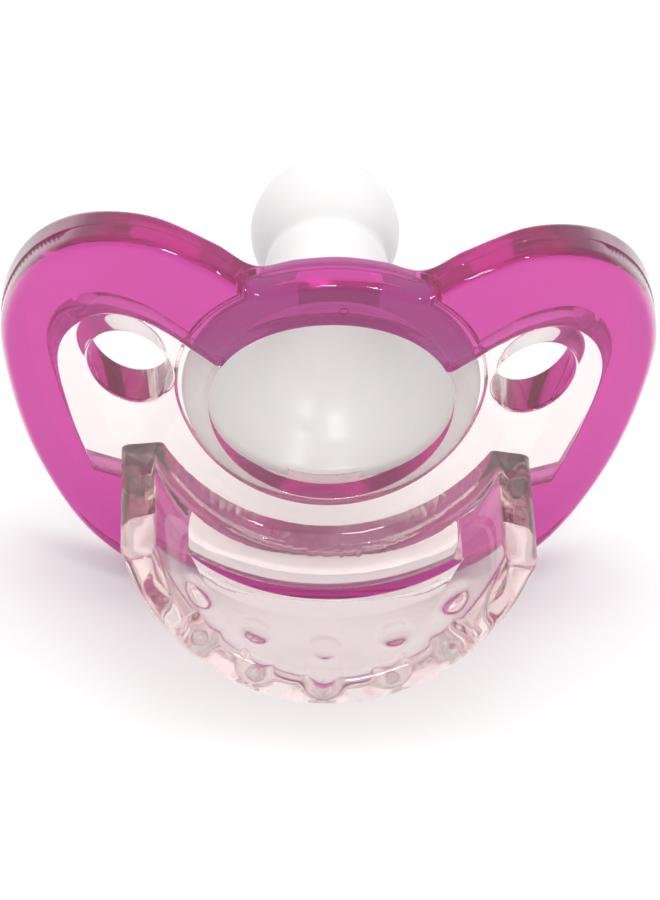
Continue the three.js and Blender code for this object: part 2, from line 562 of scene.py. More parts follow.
@dataclass
class SharedEffects:
    """The node groups that more than one finish uses.

    Attributes:
        moulding: slow sink marks and flow ripples of an injection moulding.
        handling: faint smudges and hairline scuffs from handling.
    """

    moulding: bpy.types.NodeTree = field(init=False)
    handling: bpy.types.NodeTree = field(init=False)

    def __post_init__(self) -> None:
        """Builds both groups once."""
        self.moulding = self._moulding()
        self.handling = self._handling()

    @staticmethod
    def _moulding() -> bpy.types.NodeTree:
        """Builds the ripple, for the Height of a Bump node.

        Returns:
            The group, which puts out a height of about 0 to 1.
        """
        group, book, given, out = new_group(
            "MouldingRipple",
            {"Vector": None, "Ripple Scale": 160.0, "Grain Scale": 2400.0, "Grain Share": 0.1},
            {"Height": "NodeSocketFloat"},
        )
        slow = book.add(
            "ShaderNodeTexNoise",
            {"Vector": given.outputs["Vector"], "Scale": given.outputs["Ripple Scale"], "Detail": 1.0},
        )
        fine = book.add(
            "ShaderNodeTexNoise",
            {"Vector": given.outputs["Vector"], "Scale": given.outputs["Grain Scale"], "Detail": 2.0},
        )
        grain = book.math("MULTIPLY", fine.outputs["Fac"], given.outputs["Grain Share"])
        height = book.math("ADD", slow.outputs["Fac"], grain)
        book.tree.links.new(height, out.inputs["Height"])
        return group

    @staticmethod
    def _handling() -> bpy.types.NodeTree:
        """Builds the marks that handling leaves.

        Returns:
            The group, which puts out a mask of smudges and one of hairline scuffs.
        """
        group, book, given, out = new_group(
            "HandlingMarks",
            {"Vector": None, "Smudge Scale": 110.0, "Scuff Scale": 900.0},
            {"Smudge": "NodeSocketFloat", "Scuff": "NodeSocketFloat"},
        )
        cloud = book.add(
            "ShaderNodeTexNoise",
            {"Vector": given.outputs["Vector"], "Scale": given.outputs["Smudge Scale"], "Detail": 4.0,
             "Roughness": 0.6},
        )
        smudge = book.add(
            "ShaderNodeMapRange", {"Value": cloud.outputs["Fac"], "From Min": 0.42, "From Max": 0.68}
        )
        stretched = book.add(
            "ShaderNodeMapping", {"Vector": given.outputs["Vector"], "Rotation": (0.5, 0.9, 0.3),
                                  "Scale": (1.0, 0.06, 1.0)}
        )
        hair = book.add(
            "ShaderNodeTexNoise",
            {"Vector": stretched.outputs[0], "Scale": given.outputs["Scuff Scale"], "Detail": 1.0},
        )
        scuff = book.add(
            "ShaderNodeMapRange", {"Value": hair.outputs["Fac"], "From Min": 0.66, "From Max": 0.74}
        )
        book.tree.links.new(smudge.outputs["Result"], out.inputs["Smudge"])
        book.tree.links.new(scuff.outputs["Result"], out.inputs["Scuff"])
        return group


Colour = tuple[float, float, float]


@dataclass(frozen=True)
class MouldedSkin:
    """A new material, with the colour and the surface that every moulded finish starts from.

    Attributes:
        material: the material.
        book: builds its nodes.
        marks: the node of the handling group.
        colour: its colour, dulled where it has been handled.
        normal: its surface, with the moulding ripple.
    """

    material: bpy.types.Material
    book: NodeBook
    marks: bpy.types.Node
    colour: bpy.types.NodeSocket
    normal: bpy.types.NodeSocket

    @classmethod
    def start(
        cls, name: str, effects: SharedEffects, colours: tuple[Colour, Colour], ripple_mm: float,
        **ripples: float,
    ) -> "MouldedSkin":
        """Makes the material and the nodes that come before its shader.

        Args:
            name: the material's name.
            effects: the shared groups.
            colours: its colour where it is clean and where it has been handled.
            ripple_mm: height of the moulding ripple.
            ripples: values of the ripple group, with _ for a space in their names.

        Returns:
            The skin, ready for a shader.
        """
        material = bpy.data.materials.new(name)
        material.use_nodes = True
        material.node_tree.nodes.clear()
        book = NodeBook(material.node_tree)
        place = book.add("ShaderNodeTexCoord").outputs["Object"]
        ripple = book.add("ShaderNodeGroup", node_tree=effects.moulding)
        marks = book.add("ShaderNodeGroup", node_tree=effects.handling)
        for node in (ripple, marks):
            book.tree.links.new(place, node.inputs["Vector"])
        for socket, value in ripples.items():
            ripple.inputs[socket.replace("_", " ")].default_value = value
        clean, handled = ((*shade, 1) for shade in colours)
        colour = book.add(
            "ShaderNodeMix", {"Factor": marks.outputs["Smudge"], "A": clean, "B": handled},
            data_type="RGBA",
        )
        bump = book.add(
            "ShaderNodeBump",
            {"Strength": 1.0, "Distance": ripple_mm * MM, "Height": ripple.outputs["Height"]},
        )
        return cls(material, book, marks, colour.outputs["Result"], bump.outputs["Normal"])

    def complete(
        self, shader: bpy.types.Node, passed: Colour, straight: bpy.types.NodeSocket,
        inside: dict[str, bpy.types.NodeSocket] | None = None,
    ) -> bpy.types.Material:
        """Lets some rays go straight through and ends the material.

        Args:
            shader: what every other ray meets.
            passed: how much of each colour goes straight through.
            straight: 1 for the rays that do.
            inside: the output's volume input, where there is one.

        Returns:
            The material.
        """
        through = self.book.add("ShaderNodeBsdfTransparent", {"Color": (*passed, 1)})
        mixed = self.book.add(
            "ShaderNodeMixShader", {0: straight, 1: shader.outputs[0], 2: through.outputs[0]}
        )
        ends = {"Surface": mixed.outputs[0], **(inside or {})}
        out = self.book.add("ShaderNodeOutputMaterial", ends)
        out.is_active_output = True
        return self.material


@dataclass(frozen=True)
class ClearFinish:
    """See-through moulded plastic, plain or dyed in the mass.

    Attributes:
        name: the material's name.
        tint: the surface colour, which light takes on as it goes through.
        smudged: the surface colour where it has been handled.
        absorbed: how much red, green and blue a metre takes away.
        roughness: of a clean surface, and how much handling adds.
        ripple_mm: height of the moulding ripple.
        passed: how much lamp light and scattered light each surface lets straight through.
        see_through: share of light that passes; the pigment scatters the rest.
        ior: refractive index.
    """

    name: str
    tint: Colour
    smudged: Colour
    absorbed: Colour
    roughness: Point = (0.02, 0.05)
    ripple_mm: float = 0.004
    passed: Colour = (0.9, 0.89, 0.885)
    see_through: float = 1.0
    ior: float = 1.49

    def build(self, effects: SharedEffects) -> bpy.types.Material:
        """Makes the material from the shared effects.

        Args:
            effects: the shared groups.

        Returns:
            The material.
        """
        skin = MouldedSkin.start(self.name, effects, (self.tint, self.smudged), self.ripple_mm)
        book, marks = skin.book, skin.marks
        clean, added = self.roughness
        wear = book.math("MAXIMUM", marks.outputs["Smudge"], marks.outputs["Scuff"])
        glass = book.add(
            "ShaderNodeBsdfPrincipled",
            {
                "Base Color": skin.colour,
                "Roughness": book.spread(wear, clean, clean + added),
                "Normal": skin.normal,
                "IOR": self.ior,
                "Transmission Weight": self.see_through,
            },
        )
        rays = book.add("ShaderNodeLightPath")
        straight = book.math("MAXIMUM", rays.outputs["Is Shadow Ray"], rays.outputs["Is Diffuse Ray"])
        density = max(self.absorbed)
        share = tuple(1 - value / density for value in self.absorbed)
        dye = book.add("ShaderNodeVolumeAbsorption", {"Color": (*share, 1), "Density": density})
        return skin.complete(glass, self.passed, straight, {"Volume": dye.outputs[0]})


@dataclass(frozen=True)
class SiliconeFinish:
    """Milky, slightly dull silicone rubber.

    Attributes:
        name: the material's name.
        milk: its colour where it is clean.
        dulled: its colour where dust and handling dull it.
        roughness: of a clean surface, and how much handling adds.
        see_through: share of light that passes.
        ior: refractive index.
        glow: share of light that spreads inside it.
        glow_mm: how far that light spreads, and glow_reach by colour.
        ripple_mm: height of the moulding ripple.
        ripple_scale: how close the ripples are, and grain_share how much fine grain they hold.
        passed: how much lamp light each surface lets straight through.
    """

    name: str
    milk: Colour = (0.93, 0.922, 0.918)
    dulled: Colour = (0.91, 0.898, 0.893)
    roughness: Point = (0.3, 0.16)
    see_through: float = 0.22
    ior: float = 1.41
    glow: float = 0.6
    glow_mm: float = 2.2
    glow_reach: Colour = (1.0, 0.85, 0.8)
    ripple_mm: float = 0.02
    ripple_scale: float = 240.0
    grain_share: float = 0.18
    passed: Colour = (0.8, 0.78, 0.77)

    def build(self, effects: SharedEffects) -> bpy.types.Material:
        """Makes the material from the shared effects.

        Args:
            effects: the shared groups.

        Returns:
            The material.
        """
        skin = MouldedSkin.start(
            self.name, effects, (self.milk, self.dulled), self.ripple_mm,
            Ripple_Scale=self.ripple_scale, Grain_Share=self.grain_share,
        )
        book = skin.book
        clean, added = self.roughness
        rubber = book.add(
            "ShaderNodeBsdfPrincipled",
            {
                "Base Color": skin.colour,
                "Roughness": book.spread(skin.marks.outputs["Smudge"], clean, clean + added),
                "Normal": skin.normal,
                "IOR": self.ior,
                "Transmission Weight": self.see_through,
                "Subsurface Weight": self.glow,
                "Subsurface Radius": self.glow_reach,
                "Subsurface Scale": self.glow_mm * MM,
            },
        )
        rays = book.add("ShaderNodeLightPath")
        return skin.complete(rubber, self.passed, rays.outputs["Is Shadow Ray"])


@dataclass(frozen=True)
class FloorFinish:
    """Plain pale paper, with the faintest mottle.

    Attributes:
        name: the material's name.
        paper: its lighter and darker shade.
        backlight: how much light comes up through it.
        roughness: of its surface.
        gloss: strength of its reflections.
    """

    name: str = "pale_floor"
    paper: tuple[Colour, Colour] = ((0.88, 0.88, 0.88), (0.87, 0.87, 0.87))
    backlight: float = 0.03
    roughness: float = 0.95
    gloss: float = 0.1

    def build(self) -> bpy.types.Material:
        """Makes the floor's material.

        Returns:
            The material.
        """
        material = bpy.data.materials.new(self.name)
        material.use_nodes = True
        book = NodeBook(material.node_tree)
        surface = material.node_tree.nodes["Principled BSDF"]
        place = book.add("ShaderNodeTexCoord").outputs["Object"]
        cloud = book.add("ShaderNodeTexNoise", {"Vector": place, "Scale": 30.0, "Detail": 3.0})
        lighter, darker = ((*shade, 1) for shade in self.paper)
        shade = book.add(
            "ShaderNodeMix", {"Factor": cloud.outputs["Fac"], "A": lighter, "B": darker}, data_type="RGBA"
        )
        book.tree.links.new(shade.outputs["Result"], surface.inputs["Base Color"])
        surface.inputs["Roughness"].default_value = self.roughness
        surface.inputs["Specular IOR Level"].default_value = self.gloss
        surface.inputs["Emission Color"].default_value = (1, 1, 1, 1)
        surface.inputs["Emission Strength"].default_value = self.backlight
        return material


@dataclass
class Finishes:
    """Every finish of the pacifier."""

    pink: bpy.types.Material
    clear: bpy.types.Material
    silicone: bpy.types.Material
    floor: bpy.types.Material

    @classmethod
    def build(cls) -> "Finishes":
        """Makes all the materials.

        Returns:
            The finishes.
        """
        effects = SharedEffects()
        pink = ClearFinish(
            name="pink_dyed_plastic",
            tint=(0.67, 0.22, 0.5),
            smudged=(0.65, 0.21, 0.48),
            absorbed=(16.0, 330.0, 72.0),
            roughness=(0.03, 0.05),
            passed=(0.56, 0.53, 0.55),
            see_through=0.92,
        )
        clear = ClearFinish(
            name="clear_plastic",
            tint=(0.985, 0.95, 0.945),
            smudged=(0.975, 0.935, 0.93),
            absorbed=(3.0, 11.0, 11.0),
            see_through=0.985,
        )
        return cls(
            pink=pink.build(effects),
            clear=clear.build(effects),
            silicone=SiliconeFinish(name="milky_silicone").build(effects),
            floor=FloorFinish().build(),
        )


# ---------------------------------------------------------------- shield
@dataclass
class Shield:
    """The two-colour shield: a pink rim moulded round a clear core.

    Attributes:
        thickness: through both colours, in mm.
        outline_half: right half of the outline, from the nose notch down to the chin.
        outer_round: how far the outer edges are rounded over.
        inner_round: the same for edges at the centre opening and the join.
        opening: half width, half height and height above the datum of the oval centre opening.
        lip_depth: of the lip in front of the nipple's flange.
        seat_radius: of the round seat behind the lip.
        vent: x, z, half width and half height of the vent on the right.
        vent_round: how far the vents' edges are rounded over.
        core_radius: of the clear core's lower edge.
        core_ear: right side of the clear core, from its shoulder up round the vent to the opening.
        sharp: angle in degrees from which an edge is rounded.
        bead: thickness of the parting line's round bead, and bead_sunk how deep its middle lies.
        pin_mark: middle of the pin's ring, pin_radius its radius and pin_wire its thickness.
    """

    bench: Bench
    dish: Dish
    thickness: float = 3.8
    outline_half: tuple[Point, ...] = (
        (0, 12.8), (3.4, 12.3), (6.5, 11.3), (9.6, 12.9), (14.6, 14.3), (19.6, 12.8), (23.6, 8.6),
        (25.9, 1.6), (25.1, -5.3), (22.6, -12), (18.2, -17.8), (12, -20.7), (0, -21.5),
    )
    outer_round: float = 0.8
    inner_round: float = 0.12
    opening: tuple[float, float, float] = (9.6, 9.1, -0.45)
    lip_depth: float = 2.9
    seat_radius: float = 11.8
    vent: tuple[float, float, float, float] = (15.8, 1.5, 3.25, 3.45)
    vent_round: float = 0.3
    core_radius: float = 18.2
    core_ear: tuple[Point, ...] = (
        (18.3, -10.3), (20.3, -5), (21.4, 0.6), (20.2, 4.2), (17.7, 6.4), (14.6, 6.5), (12.6, 5.6),
        (9.2, 3.4),
    )
    sharp: float = 40.0
    bead: float = 0.05
    bead_sunk: float = 0.03
    pin_mark: Point = (0.3, 10.1)
    pin_radius: float = 0.33
    pin_wire: float = 0.05

    def outline(self) -> list[Point]:
        """Mirrors and smooths the shield's outline.

        Returns:
            The whole outline, anticlockwise.
        """
        right = list(self.outline_half)
        left = mirrored(right[1:-1])
        return smooth_path([*right, *left], True, 12)[::-1]

    def core_outline(self) -> list[Point]:
        """Joins the core's round lower edge to its two ears.

        Returns:
            The outline, anticlockwise from its left shoulder.
        """
        shoulder = math.asin(self.core_ear[0][1] / self.core_radius)
        start, sweep, steps = -math.pi - shoulder, math.pi + 2 * shoulder, 72
        turns = [start + sweep * i / steps for i in range(steps + 1)]
        under = [(self.core_radius * math.cos(a), self.core_radius * math.sin(a)) for a in turns]
        ear = smooth_path(list(self.core_ear), False, 9)
        return [*under, *ear, *mirrored(ear)]

    def hollow(self) -> list[bmesh.types.BMesh]:
        """Makes the cutters of the middle.

        Returns:
            The centre opening and the seat behind its lip.
        """
        half_width, half_height, z = self.opening
        oval = circle(half_width, ROUND_HOLE, 0, z, half_height / half_width)
        opening = slab(oval, -2, self.thickness + 2)
        seat = slab(circle(self.seat_radius, ROUND_HOLE), self.lip_depth, self.thickness + 2)
        return [opening, seat]

    def finish(self, bm: bmesh.types.BMesh) -> bmesh.types.BMesh:
        """Softens the cut edges of a flat shield piece and bends it.

        Args:
            bm: the flat piece, which is changed.

        Returns:
            The same piece, bent onto the dish.
        """
        tidy(bm, SHORTEST)
        bmesh.ops.dissolve_limit(
            bm, angle_limit=math.radians(0.5), verts=bm.verts, edges=bm.edges, delimit={"NORMAL"}
        )
        x, z, half_width, _ = self.vent
        at_vents, elsewhere = [], []
        for edge in sharp_edges(bm, self.sharp):
            middle = (edge.verts[0].co + edge.verts[1].co) / 2
            near = math.hypot(abs(middle.x) - x, middle.z - z) < half_width + 0.4
            (at_vents if near else elsewhere).append(edge)
        softened(bm, at_vents, self.vent_round, 4)
        softened(bm, [e for e in elsewhere if e.is_valid], self.inner_round, 3)
        self.dish.bend(bm)
        return tidy(bm, 1e-3)

    def rim(self) -> bmesh.types.BMesh:
        """Cuts the core and the opening out of the rounded outline.

        Returns:
            The pink rim.
        """
        bm = slab(self.outline(), 0, self.thickness)
        faces = [f for f in bm.faces if abs(f.normal.y) > 0.9]
        softened(bm, {e for f in faces for e in f.edges}, self.outer_round, 8)
        core = slab(self.core_outline(), -1, self.thickness + 1)
        return self.finish(carved(bm, core, *self.hollow()))

    def core(self) -> bmesh.types.BMesh:
        """Cuts the opening and the two vents out of the core.

        Returns:
            The clear core.
        """
        bm = slab(grown(self.core_outline(), CONTACT), 0, self.thickness)
        x, z, half_width, half_height = self.vent
        vents = [
            slab(circle(half_width, 96, side * x, z, half_height / half_width), -1, self.thickness + 1)
            for side in (-1, 1)
        ]
        return self.finish(carved(bm, *vents, *self.hollow()))

    def parting_line(self) -> bmesh.types.BMesh:
        """Runs a fine bead round the rim's edge, where the two halves of the mould met.

        Returns:
            The closed bead.
        """
        depth = self.thickness / 2
        curve = bpy.data.curves.new("parting_line", "CURVE")
        curve.dimensions = "3D"
        curve.bevel_depth = self.bead
        curve.bevel_resolution = 1
        path = grown(self.outline(), -self.bead_sunk)
        spline = curve.splines.new("POLY")
        spline.points.add(len(path) - 1)
        for point, (x, z) in zip(spline.points, path):
            point.co = (x, self.dish.depth(x, depth), z, 1)
        spline.use_cyclic_u = True
        obj = bpy.data.objects.new("parting_line", curve)
        bpy.context.scene.collection.objects.link(obj)
        bpy.context.view_layer.update()
        evaluated = obj.evaluated_get(bpy.context.evaluated_depsgraph_get())
        mesh = bpy.data.meshes.new_from_object(evaluated)
        bm = bmesh.new()
        bm.from_mesh(mesh)
        bpy.data.meshes.remove(mesh)
        bpy.data.objects.remove(obj)
        bpy.data.curves.remove(curve)
        return tidy(bm)

    def pin_ring(self) -> bmesh.types.BMesh:
        """Makes the low ring that an ejector pin left above the opening.

        Returns:
            The ring.
        """
        x, z = self.pin_mark
        bm = lathe(circle(self.pin_wire, 8, self.pin_radius), 32, True)
        bmesh.ops.translate(bm, verts=bm.verts, vec=(x, self.dish.depth(x), z))
        return bm

    def build(self, finishes: Finishes) -> None:
        """Makes and dresses the shield's pieces.

        Args:
            finishes: every finish.
        """
        rim = self.bench.piece(self.rim(), "pink_rim", finishes.pink, Slot.PINK)
        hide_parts("shield_rim")
        core = self.bench.piece(self.core(), "clear_face_plate", finishes.clear, Slot.CLEAR)
        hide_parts("face_plate")
        self.bench.piece(self.parting_line(), "rim_parting_line", finishes.pink, Slot.PINK)
        self.bench.piece(self.pin_ring(), "rim_pin_mark", finishes.pink, Slot.PINK)


# ---------------------------------------------------------------- grip
@dataclass
class Grip:
    """The scoop-shaped grip moulded onto the clear core, with its strap slot and bumps.

    Attributes:
        inner_radius: of the scoop's inside.
        side: half width of its outside.
        bottom: depth of its outside under the opening's centre.
        top_z: upper edge of the two arms.
        arm_reach: how far the arms' ends stand forward.
        lip_reach: how far the bottom of the lip stands forward.
        lip_profile: across the wall and forward, each from 0 to 1.
        end_round: how far the arms' ends are rounded over.
        root_profile: how far forward, and at what radius, the root's inner fillet runs.
        root_outside: how far across and forward the root's outside corner lies.
        root_at_arms: share of the fillet's size that is left at the arms' tops.
        slot_half_width: of the strap slot.
        slot_back: how far in front of the face the slot starts, and slot_front where it ends.
        slot_round: radius of the slot's corners.
        bump_radius: of the low bumps, and bump_heights how far they stand up, inside and outside.
        bump_sunk: how much of a bump's height lies under the surface.
        bumps: where they are, as x and how far forward.
        buried: how far the grip runs into the face plate before it is trimmed.
        voxel: grid of the skin round the grip, and smoothings how often it is smoothed.
        steps: in the sweep under the opening.
    """

    bench: Bench
    dish: Dish
    inner_radius: float = 14.9
    side: float = 17.6
    bottom: float = 18.5
    top_z: float = -5.8
    arm_reach: float = 9.9
    lip_reach: float = 14.9
    lip_profile: tuple[Point, ...] = (
        (0.0, 0.0), (0.0, 0.92), (0.04, 0.958), (0.13, 0.985), (0.27, 0.998), (0.45, 1.0),
        (0.64, 0.996), (0.82, 0.98), (0.94, 0.945), (1.0, 0.89), (1.0, 0.0),
    )
    end_round: float = 0.7
    root_profile: tuple[Point, ...] = (
        (-1.5, 12.1), (-0.1, 12.3), (0.0, 12.6), (0.12, 13.0), (0.45, 13.3), (0.9, 13.55),
        (1.4, 13.75), (2.2, 14.1), (3.5, 14.5), (5.5, 14.9),
    )
    root_outside: Point = (1.2, 5.5)
    root_at_arms: float = 0.35
    slot_half_width: float = 10.8
    slot_back: float = 1.1
    slot_front: float = 5.9
    slot_round: float = 0.35
    bump_radius: float = 1.5
    bump_heights: Point = (0.6, 0.34)
    bump_sunk: float = 0.7
    bumps: tuple[Point, ...] = ((-10, 9.5), (-5.45, 10.8), (0, 11.5), (5.45, 10.8), (10, 9.5))
    buried: float = 1.5
    voxel: float = 0.2
    smoothings: int = 4
    steps: int = 144

    @property
    def turn(self) -> tuple[float, float]:
        """Where the inside starts and ends, in radians from +X towards +Z."""
        rise = math.asin(-self.top_z / self.inner_radius)
        return math.pi + rise, 2 * math.pi - rise

    def outer_radius(self, angle: float) -> float:
        """Distance from the opening's centre to the oval outside, along an angle."""
        return 1 / math.hypot(math.cos(angle) / self.side, math.sin(angle) / self.bottom)

    def front(self, z: float) -> float:
        """How far forward the leaning lip stands at a height."""
        share = (self.top_z - z) / (self.bottom + self.top_z)
        return self.arm_reach + (self.lip_reach - self.arm_reach) * share

    def swept(self, profile: Iterable[Point], shape: Placing) -> bmesh.types.BMesh:
        """A closed profile swept round under the opening.

        Args:
            profile: closed outline as (across, forward).
            shape: gives the place of an angle, an across and a forward value.

        Returns:
            The closed sweep.
        """
        start, end = self.turn
        bm = bmesh.new()
        hub = self.inner_radius
        verts = [bm.verts.new((hub + across, -forward, 0)) for across, forward in profile]
        face = bm.faces.new(verts)
        bmesh.ops.rotate(bm, verts=bm.verts, matrix=Matrix.Rotation(-start, 3, "Y"))
        bmesh.ops.spin(
            bm, geom=[face], cent=(0, 0, 0), axis=(0, 1, 0), angle=-(end - start), steps=self.steps
        )
        for vert in bm.verts:
            across = math.hypot(vert.co.x, vert.co.z) - hub
            angle = math.atan2(vert.co.z, vert.co.x) % (2 * math.pi)
            vert.co = shape(angle, across, -vert.co.y)
        return tidy(bm)

    def wall(self) -> bmesh.types.BMesh:
        """Sweeps the scoop's wall, from inside the face plate to the leaning lip.

        Returns:
            The wall, with its ends rounded.
        """

        def shape(angle: float, across: float, forward: float) -> Vector:
            """Spreads the profile between the round inside and the oval outside.

            Args:
                angle: from +X towards +Z, in radians.
                across: 0 at the inside, 1 at the outside.
                forward: 0 behind the face, 1 at the lip.

            Returns:
                The place in the maker's frame.
            """
            radius = self.inner_radius + (self.outer_radius(angle) - self.inner_radius) * across
            x, z = radius * math.cos(angle), radius * math.sin(angle)
            back = self.dish.depth(x) + self.buried
            rim = self.outer_radius(angle) * math.sin(angle)
            return Vector((x, back + (-self.front(rim) - back) * forward, z))

        bm = self.swept(self.lip_profile, shape)
        ends = [f for f in bm.faces if len(f.verts) == len(self.lip_profile)]
        softened(bm, {e for f in ends for e in f.edges}, self.end_round, 4)
        return tidy(bm)

    def root(self) -> bmesh.types.BMesh:
        """Sweeps the fillet between the scoop's inside and the face plate.

        Returns:
            The fillet, with the stretch of wall that it grows from.
        """
        inner = [(radius - self.inner_radius, forward) for forward, radius in self.root_profile]
        outside = self.root_outside[0]
        profile = [*inner, self.root_outside, (outside, -self.buried)]

        def shape(angle: float, across: float, forward: float) -> Vector:
            """Shrinks the fillet towards the arms and sets it on the dished face.

            Args:
                angle: from +X towards +Z, in radians.
                across: in mm from the scoop's inside.
                forward: in mm in front of the face.

            Returns:
                The place in the maker's frame.
            """
            start, end = self.turn
            middle = 1 - abs(2 * (angle - start) / (end - start) - 1)
            share = self.root_at_arms + (1 - self.root_at_arms) * math.sin(middle * math.pi / 2)
            if across < 0:
                across *= share
                forward *= share if forward > 0 else 1
            radius = self.inner_radius + across
            x, z = radius * math.cos(angle), radius * math.sin(angle)
            return Vector((x, self.dish.depth(x) - forward, z))

        return self.swept(profile, shape)

    def bump(
        self, x: float, forward: float, half_width: float, depth: float, outside: bool
    ) -> bmesh.types.BMesh:
        """One low bump, the cap of a ball.

        Args:
            x: how far to the side it sits.
            forward: how far in front of the datum.
            half_width: of the oval surface that it sits on.
            depth: of that surface, under the opening's centre.
            outside: whether it sits on the scoop's outside.

        Returns:
            The closed cap.
        """
        angle = math.asin(x / half_width)
        height = self.bump_heights[1 if outside else 0]
        ball = (self.bump_radius**2 + height**2) / (2 * height)
        bm = bmesh.new()
        bmesh.ops.create_uvsphere(bm, u_segments=48, v_segments=48, radius=ball)
        cut = bmesh.ops.bisect_plane(
            bm, geom=[*bm.verts, *bm.edges, *bm.faces], plane_no=(0, 0, 1), clear_inner=True,
            plane_co=(0, 0, ball - height * (1 + self.bump_sunk)),
        )["geom_cut"]
        bmesh.ops.edgenet_fill(bm, edges=[e for e in cut if isinstance(e, bmesh.types.BMEdge)])
        bmesh.ops.translate(bm, verts=bm.verts, vec=(0, 0, height - ball))
        if outside:
            bmesh.ops.rotate(bm, verts=bm.verts, matrix=Matrix.Rotation(math.pi, 3, "X"))
        tidy(bm)
        bmesh.ops.rotate(bm, verts=bm.verts, matrix=Matrix.Rotation(-angle, 3, "Y"))
        bmesh.ops.translate(bm, verts=bm.verts, vec=(x, -forward, -depth * math.cos(angle)))
        return bm

    def body(self) -> bmesh.types.BMesh:
        """Wraps the wall, the root and the bumps in one skin, and cuts it.

        Returns:
            The grip, with its slot, ending just inside the face plate.
        """
        faces = ((self.inner_radius, self.inner_radius, False), (self.side, self.bottom, True))
        bumps = [self.bump(x, forward, *face) for face in faces for x, forward in self.bumps]
        skin = remeshed(joined(self.wall(), self.root(), *bumps), self.voxel)
        for _ in range(self.smoothings):
            bmesh.ops.smooth_vert(
                skin, verts=skin.verts, factor=0.5, use_axis_x=True, use_axis_y=True, use_axis_z=True
            )
        half = self.slot_half_width
        reach = self.dish.reach
        outline = [(-half, -30), (half, -30), (half, self.top_z), (-half, self.top_z)]
        slot = slab(outline, -self.slot_front, -self.slot_back)
        upright = [e for e in slot.edges if abs((e.verts[0].co - e.verts[1].co).z) > half]
        softened(slot, upright, self.slot_round, 4)
        square = [(-reach, -reach), (reach, -reach), (reach, reach), (-reach, reach)]
        plate = slab(square, CONTACT, 3 * self.buried)
        self.dish.bend(plate)
        return tidy(carved(skin, slot, plate))

    def build(self, finishes: Finishes) -> None:
        """Makes and dresses the grip."""
        grip = self.bench.piece(self.body(), "grip_scoop", finishes.clear, Slot.CLEAR)
        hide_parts("handle")


# ---------------------------------------------------------------- nipple
@dataclass
class Nipple:
    """The hollow silicone nipple and the collar that clamps its flange.

    Attributes:
        flange_radius: of the flange, and flange_front and flange_back how deep its faces lie.
        outside: (radius, y) down the funnel and neck, behind the flange.
        inside: (radius, y) down the inside, from the mouth.
        bulb_radius: of the bulb's outside, and bulb_y where its centre is.
        wall: thickness at the bulb.
        waist: angle of the bulb's first point, in degrees from its widest place.
        bend: where along the axis the neck would start to bend, and where it would have followed; the neck
            is not bent.
        collar: (radius, y) corners of the clamping collar, and collar_rounds their radii.
    """

    bench: Bench
    flange_radius: float = 11.4
    flange_front: float = 3.0
    flange_back: float = 4.45
    outside: tuple[Point, ...] = (
        (9.55, 4.45), (8.7, 5.8), (7.6, 7.2), (6.6, 8.6), (5.75, 10.2), (5.2, 11.8), (4.95, 13.4),
        (4.9, 15.2), (5.0, 16.6),
    )
    inside: tuple[Point, ...] = (
        (9.6, 3.0), (8.6, 4.2), (7.75, 5.25), (6.6, 6.3), (5.5, 7.6), (4.7, 9.2), (4.15, 11), (3.85, 13),
        (3.8, 15), (3.85, 16.6),
    )
    bulb_radius: float = 6.05
    bulb_y: float = 21.4
    wall: float = 1.1
    waist: float = -38.0
    bend: Point = (8.0, 14.0)
    collar: tuple[Point, ...] = ((9.75, 4.5), (11.0, 4.5), (11.0, 5.4), (9.75, 5.4))
    collar_rounds: tuple[float, ...] = (0.15, 0.2, 0.4, 0.3)

    def arc(self, radius: float, steps: int = 14) -> list[Point]:
        """Draws the bulb from its waist to its tip.

        Args:
            radius: of the bulb.
            steps: stretches in the arc.

        Returns:
            Points of (radius, y).
        """
        start, end = math.radians(self.waist), math.pi / 2
        turns = [start + (end - start) * i / steps for i in range(steps)]
        points = [(radius * math.cos(a), self.bulb_y + radius * math.sin(a)) for a in turns]
        return [*points, (0.0, self.bulb_y + radius)]

    def body(self) -> bmesh.types.BMesh:
        """Turns the flange, funnel, neck and bulb.

        Returns:
            One hollow skin.
        """
        flange = [
            (self.outside[0][0] + 0.5, self.flange_back), (self.flange_radius - 0.25, self.flange_back),
            (self.flange_radius, self.flange_back - 0.3), (self.flange_radius, self.flange_front + 0.3),
            (self.flange_radius - 0.25, self.flange_front), (self.inside[0][0] + 0.4, self.flange_front),
        ]
        outside = smooth_path([*self.outside, *self.arc(self.bulb_radius)], False, 3)
        inside = smooth_path([*self.inside, *self.arc(self.bulb_radius - self.wall)], False, 3)
        return lathe([*outside[::-1], *flange, *inside], SMOOTH_RING, False)

    def ring(self) -> bmesh.types.BMesh:
        """The clamping collar."""
        profile = rounded(list(self.collar), dict(enumerate(self.collar_rounds)))
        return lathe(profile, SMOOTH_RING, True)

    def build(self, finishes: Finishes) -> None:
        """Makes and dresses the nipple and its collar.

        Args:
            finishes: every finish.
        """
        body = self.bench.piece(self.body(), "silicone_nipple", finishes.silicone, Slot.SILICONE, body=None)
        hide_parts("nipple_base", "nipple_teat")
        start, end = (self.bench.datum.place(0, y, 0) for y in self.bend)
        tuple(start)
        tuple(end)
        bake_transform(body)
        collar = self.bench.piece(self.ring(), "clamp_collar", finishes.clear, Slot.CLEAR)
        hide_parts("rear_collar")


